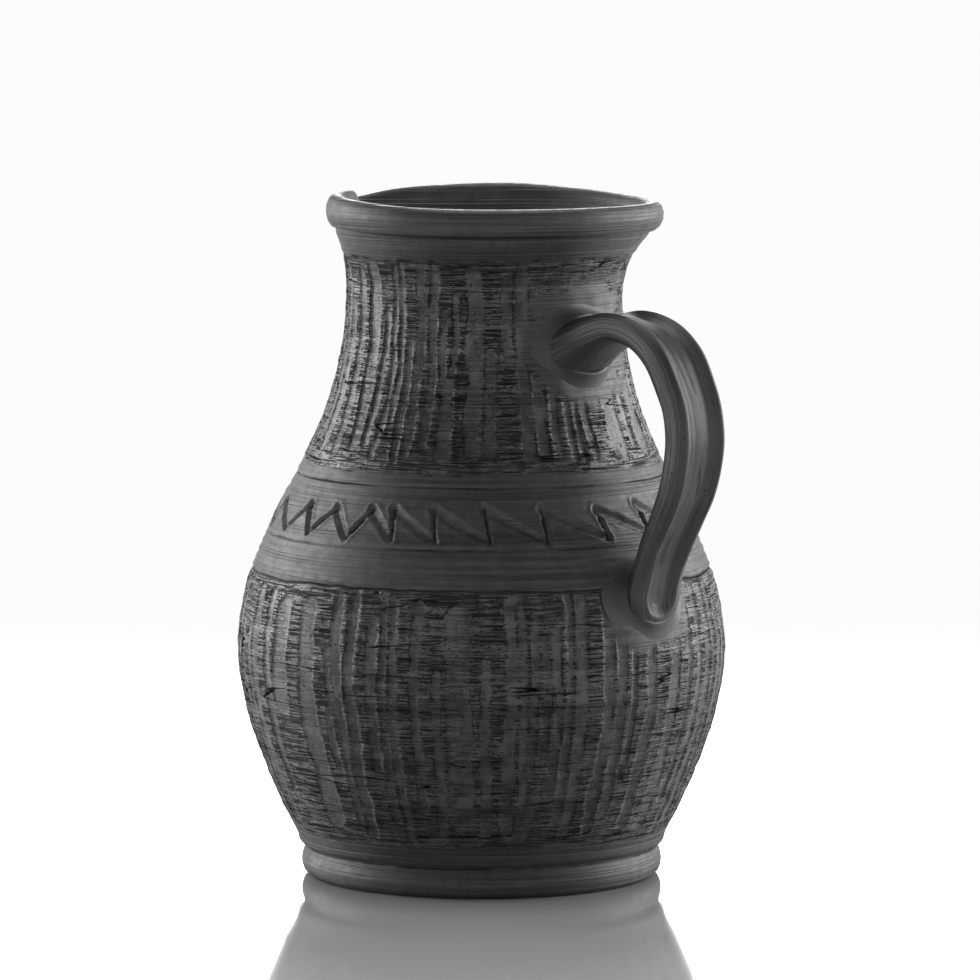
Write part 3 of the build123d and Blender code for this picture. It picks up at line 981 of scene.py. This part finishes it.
class JUG_OT_belly(bpy.types.Operator):
    """Turn the foot and the combed belly, up to the line over the comb"""
    bl_idname = "jug.belly"
    bl_label = "Foot and belly"

    def execute(self, context):
        look = context.scene.jug_look
        base = [(0, 0), (14, 0), (28, 0), (42, 0), (52, 0), (56.4, 0)]
        outside = side_wire(0, COMB_LOW, 0.9) + side_wire(COMB_LOW, SEAM, 0.79)[1:]
        inner = [seam_middle()] + inside_wire(SEAM, FLOOR_TOP + 0.02, 8.0)
        inner += [(24, FLOOR_TOP), (0, FLOOR_TOP)]
        wire = base + outside + inner
        marks = [False] * len(base) + [True] * len(outside) + [False] * len(inner)
        obj = turn_on_wheel("foot_and_belly", wire, look.wheel_steps)
        shape_vessel(obj, wire, marks)
        finish_piece(obj, clay_of(combed_black_clay), "body")
        return {"FINISHED"}


class JUG_OT_neck(bpy.types.Operator):
    """Turn the shoulder with its zigzag, the combed neck, the collar and the pinched rim"""
    bl_idname = "jug.neck"
    bl_label = "Shoulder, neck and mouth"

    def execute(self, context):
        look = context.scene.jug_look
        outside = side_wire(SEAM, BAND_TOP, 0.66) + side_wire(BAND_TOP, TUCK_TOP, 1.17)[1:]
        rim = ROLLED_RIM[1:]
        inner = inside_wire(RIM_INSIDE, SEAM, 6.5)
        wire = outside + rim + inner + [seam_middle()]
        marks = [True] * len(outside) + [False] * (len(rim) + len(inner) + 1)
        obj = turn_on_wheel("shoulder_neck_and_mouth", wire + wire[:1], look.wheel_steps)
        shape_vessel(obj, wire, marks)
        finish_piece(obj, clay_of(combed_black_clay), "body")
        return {"FINISHED"}


class JUG_OT_handle(bpy.types.Operator):
    """Pull the strap handle, bend it and press its end on with a thumb"""
    bl_idname = "jug.handle"
    bl_label = "Strap handle"

    def execute(self, context):
        obj = strap_stock()
        bend_strap(obj, context.scene.jug_look.channel_depth / MM)
        finish_piece(obj, clay_of(burnished_black_clay), "handle")
        return {"FINISHED"}


class JUG_OT_joints(bpy.types.Operator):
    """Smear the clay that joins the strap to the neck and to the shoulder"""
    bl_idname = "jug.joints"
    bl_label = "Joints of the handle"

    def execute(self, context):
        clay = clay_of(burnished_black_clay)
        upper = smear_clay("upper_joint", ROOT_HEIGHT, reach=(25, 19), strap=(14.3, 10.4, -0.6),
                           lift=5.8, fall_off=4.4, seed=3)
        finish_piece(upper, clay, "upper_joint_clay")
        lower = smear_clay("lower_joint", PAD_HEIGHT + 2, reach=(20, 15), strap=(10.6, 10.0, 1.0),
                           lift=3.6, fall_off=3.4, seed=8)
        finish_piece(lower, clay, "lower_joint_clay")
        return {"FINISHED"}


class JUG_OT_stage(bpy.types.Operator):
    """Lay the floor, set the soft lights and place the camera"""
    bl_idname = "jug.stage"
    bl_label = "Floor, lights and camera"

    def execute(self, context):
        look, scene = context.scene.jug_look, context.scene
        bpy.ops.object.select_all(action="DESELECT")
        bpy.ops.mesh.primitive_circle_add(
            vertices=96, radius=FLOOR_SIZE, fill_type="NGON", location=(0, 0, 0))
        floor = new_piece("floor")
        floor.data.materials.append(pale_floor(look))
        scene.world = white_room(look)
        for light in LIGHTS:
            scene.collection.objects.link(soft_light(look, *light))
        scene.camera = studio_camera()
        scene.collection.objects.link(scene.camera)
        scene.view_settings.view_transform = "Standard"
        scene.view_settings.look = "None"
        return {"FINISHED"}


def clay_of(maker):
    """One of the two fired clays, made the first time it is asked for."""
    name = maker.__name__ + "_fired"
    return bpy.data.materials.get(name) or maker(bpy.context.scene.jug_look)


class JUG_PT_steps(bpy.types.Panel):
    """The jug's steps and what may be changed in them"""
    bl_idname = "JUG_PT_steps"
    bl_label = "Black clay jug"
    bl_space_type = "VIEW_3D"
    bl_region_type = "UI"
    bl_category = "Jug"

    def draw(self, context):
        for step in STEPS:
            self.layout.operator(step.bl_idname)
        for key in JugLook.__annotations__:
            self.layout.prop(context.scene.jug_look, key)


STEPS = (JUG_OT_belly, JUG_OT_neck, JUG_OT_handle, JUG_OT_joints, JUG_OT_stage)
CLASSES = (JugLook, *STEPS, JUG_PT_steps)


def register():
    for cls in CLASSES:
        bpy.utils.register_class(cls)
    bpy.types.Scene.jug_look = PointerProperty(type=JugLook)


def unregister():
    del bpy.types.Scene.jug_look
    for cls in reversed(CLASSES):
        bpy.utils.unregister_class(cls)


def main():
    register()
    bpy.ops.jug.belly()
    bpy.ops.jug.neck()
    bpy.ops.jug.handle()
    bpy.ops.jug.joints()
    bpy.ops.jug.stage()


if __name__ == "__main__":
    main()
